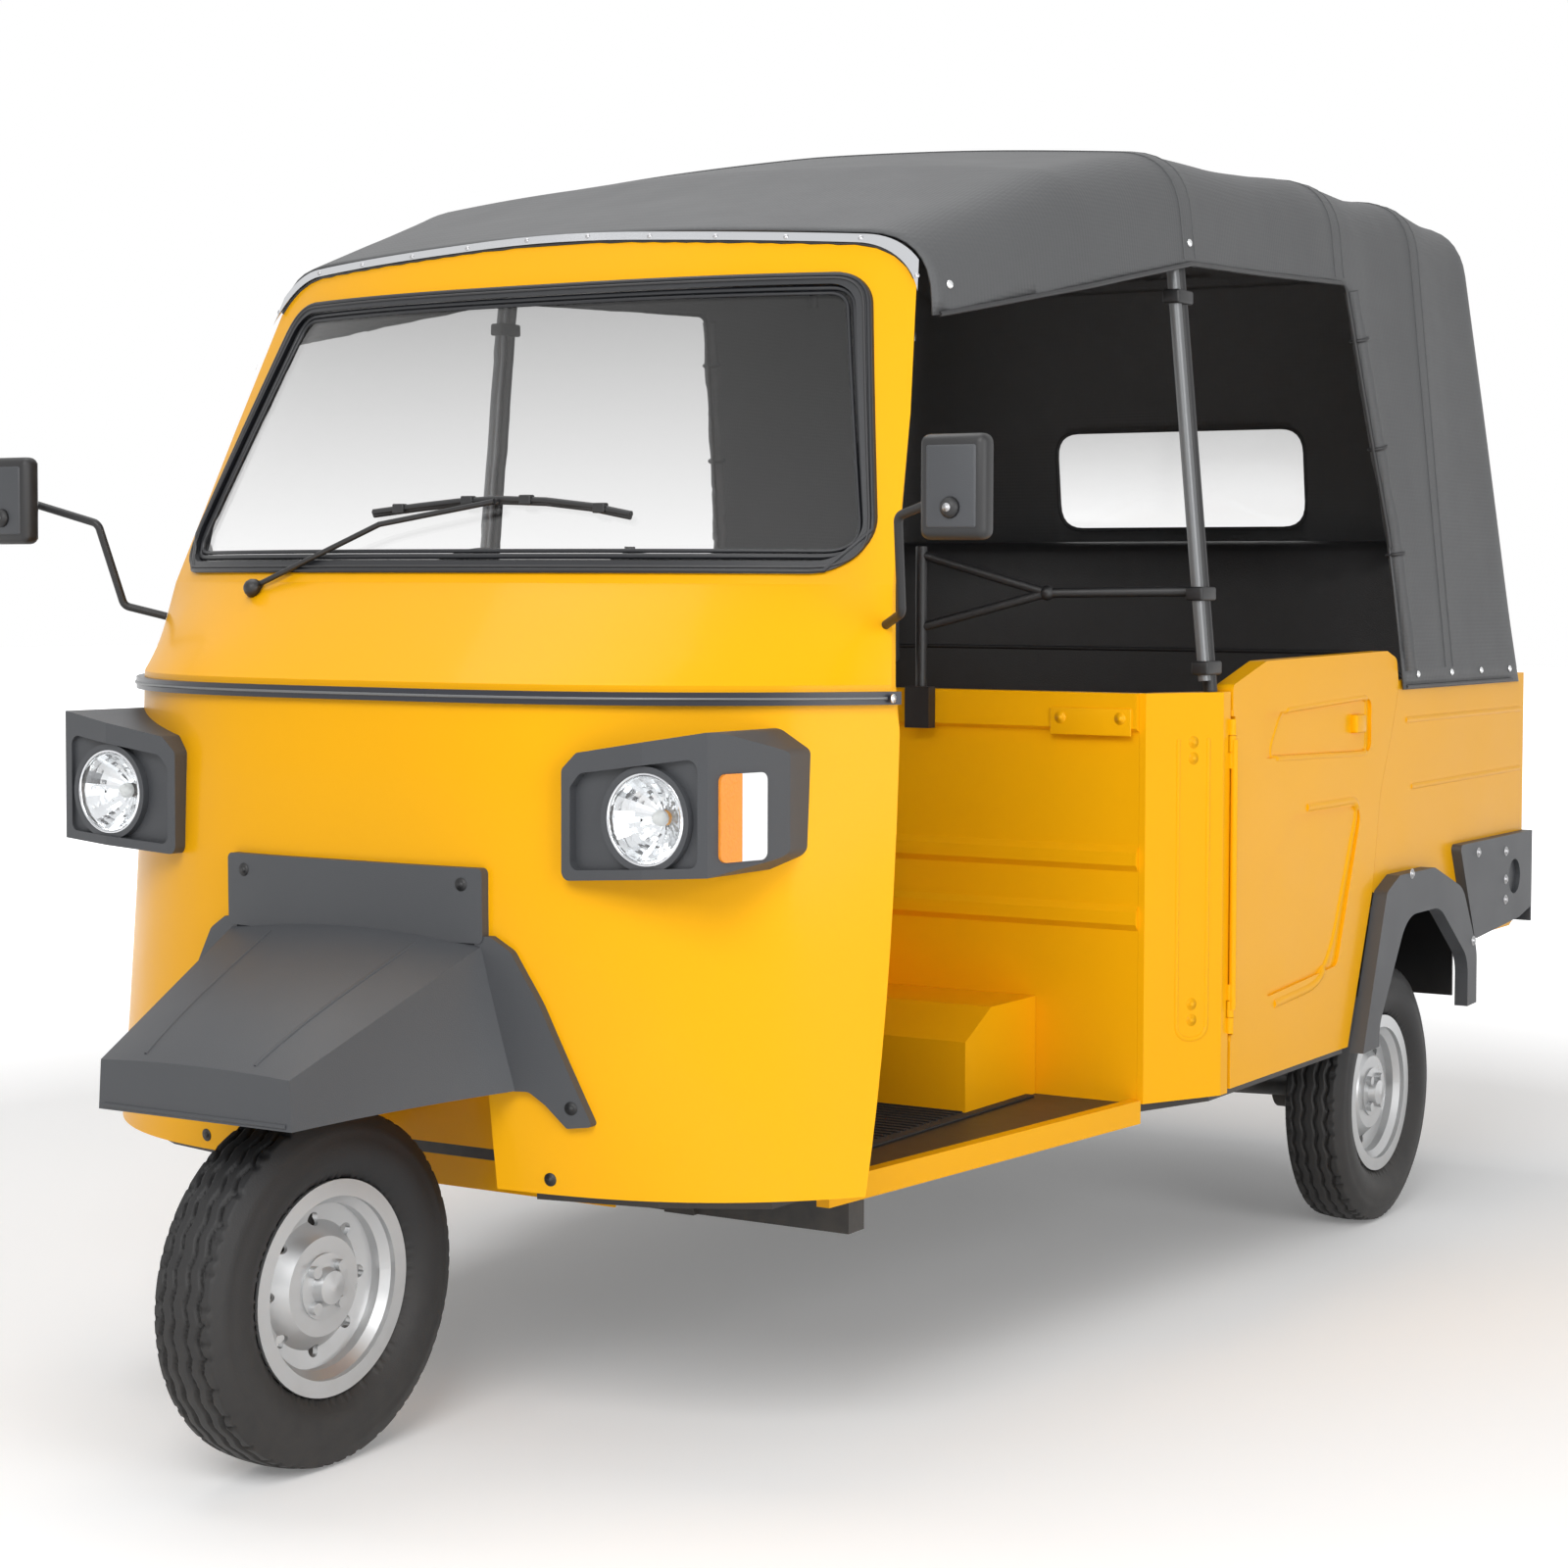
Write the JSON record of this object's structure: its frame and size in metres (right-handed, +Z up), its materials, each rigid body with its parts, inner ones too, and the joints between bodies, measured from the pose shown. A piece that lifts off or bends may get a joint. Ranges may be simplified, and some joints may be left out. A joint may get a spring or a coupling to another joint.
{
  "type": "auto rickshaw",
  "caption": "Three-wheeled passenger auto rickshaw with a steel cab, soft hood on bows, side doors, passenger bench, handlebar steering and a drop-down tailgate",
  "frame": {"origin": "on the ground, in the middle of the vehicle's length and width", "axes": "+X to the vehicle's left, +Y to its rear, +Z up; it stands on its three wheels"},
  "size_m": [1.76, 2.959, 1.906],
  "materials": {
    "yellow_paint": "glossy body paint",
    "black_paint": "satin chassis paint",
    "silver_paint": "silver wheel paint",
    "dark_plastic": "grained dark grey moulding",
    "black_plastic": "black moulding",
    "hood_vinyl": "coated hood fabric",
    "seat_vinyl": "black seat cover",
    "engine_alloy": "cast, unpolished",
    "steel": "machined",
    "bright_trim": "bright strip",
    "lamp_glass": "ribbed lens over a bright bowl",
    "clear_glass": "laminated screen",
    "red_lens": "red lens",
    "amber_lens": "amber lens",
    "seal_rubber": "black seal",
    "tyre_rubber": "black tyre"
  },
  "bodies": {
    "chassis": {"body_sides": "yellow_paint", "bulkhead": "yellow_paint", "cab_shell": "yellow_paint", "canopy": "hood_vinyl", "canopy_frame": "black_paint", "chassis_frame": "black_paint", "corner_bumpers": "dark_plastic", "dashboard": "black_plastic", "door_pillars": "yellow_paint", "driver_backrest": "seat_vinyl", "driver_seat": "seat_vinyl", "engine_block": "engine_alloy", "floor_pan": "black_paint", "front_fender": "dark_plastic", "half_shafts": "steel", "head_lamps": "lamp_glass", "header_rail": "bright_trim", "indicators": "amber_lens", "lamp_pods": "dark_plastic", "mirror_arms": "black_paint", "mirror_heads": "black_plastic", "passenger_backrest": "seat_vinyl", "passenger_seat": "seat_vinyl", "rear_beam": "black_paint", "rear_suspension": "black_paint", "seat_box": "yellow_paint", "seat_deck": "yellow_paint", "sills": "yellow_paint", "steering_head": "black_paint", "tail_lamps": "red_lens", "waist_trim": "dark_plastic", "wheel_flares": "dark_plastic", "wheel_well": "black_paint", "windscreen": "clear_glass", "windscreen_seal": "seal_rubber", "wiper": "black_plastic"},
    "steering": {"steering_column": "black_paint", "handlebar": "black_plastic", "front_suspension": "black_paint"},
    "front_wheel": {"tyre_front": "tyre_rubber", "rim_front": "silver_paint"},
    "rear_wheel_left": {"tyre_rear_left": "tyre_rubber", "rim_rear_left": "silver_paint"},
    "rear_wheel_right": {"tyre_rear_right": "tyre_rubber", "rim_rear_right": "silver_paint"},
    "left_door": {"door_left": "yellow_paint"},
    "right_door": {"door_right": "yellow_paint"},
    "rear_gate": {"tailgate": "yellow_paint"}
  },
  "joints": [
    {"name": "steering_turn", "type": "hinge", "parent": "chassis", "child": "steering", "pos_m": [0, -1.3025, 0], "axis": [0, 0.342, 0.9397], "range_deg": [-40, 40]},
    {"name": "front_wheel_spin", "type": "hinge", "parent": "steering", "child": "front_wheel", "pos_m": [0, -1.2425, 0.237], "axis": [1, 0, 0], "continuous": true},
    {"name": "rear_left_spin", "type": "hinge", "parent": "chassis", "child": "rear_wheel_left", "pos_m": [0.634, 0.8805, 0.237], "axis": [1, 0, 0], "continuous": true},
    {"name": "rear_right_spin", "type": "hinge", "parent": "chassis", "child": "rear_wheel_right", "pos_m": [-0.634, 0.8805, 0.237], "axis": [1, 0, 0], "continuous": true},
    {"name": "left_door_swing", "type": "hinge", "parent": "chassis", "child": "left_door", "pos_m": [0.746, 0.0505, 0.7], "axis": [0, 0, -1], "range_deg": [0, 75]},
    {"name": "right_door_swing", "type": "hinge", "parent": "chassis", "child": "right_door", "pos_m": [-0.746, 0.0505, 0.7], "axis": [0, 0, 1], "range_deg": [0, 75]},
    {"name": "tailgate_drop", "type": "hinge", "parent": "chassis", "child": "rear_gate", "pos_m": [0, 1.4675, 0.563], "axis": [-1, 0, 0], "range_deg": [0, 90]}
  ]
}
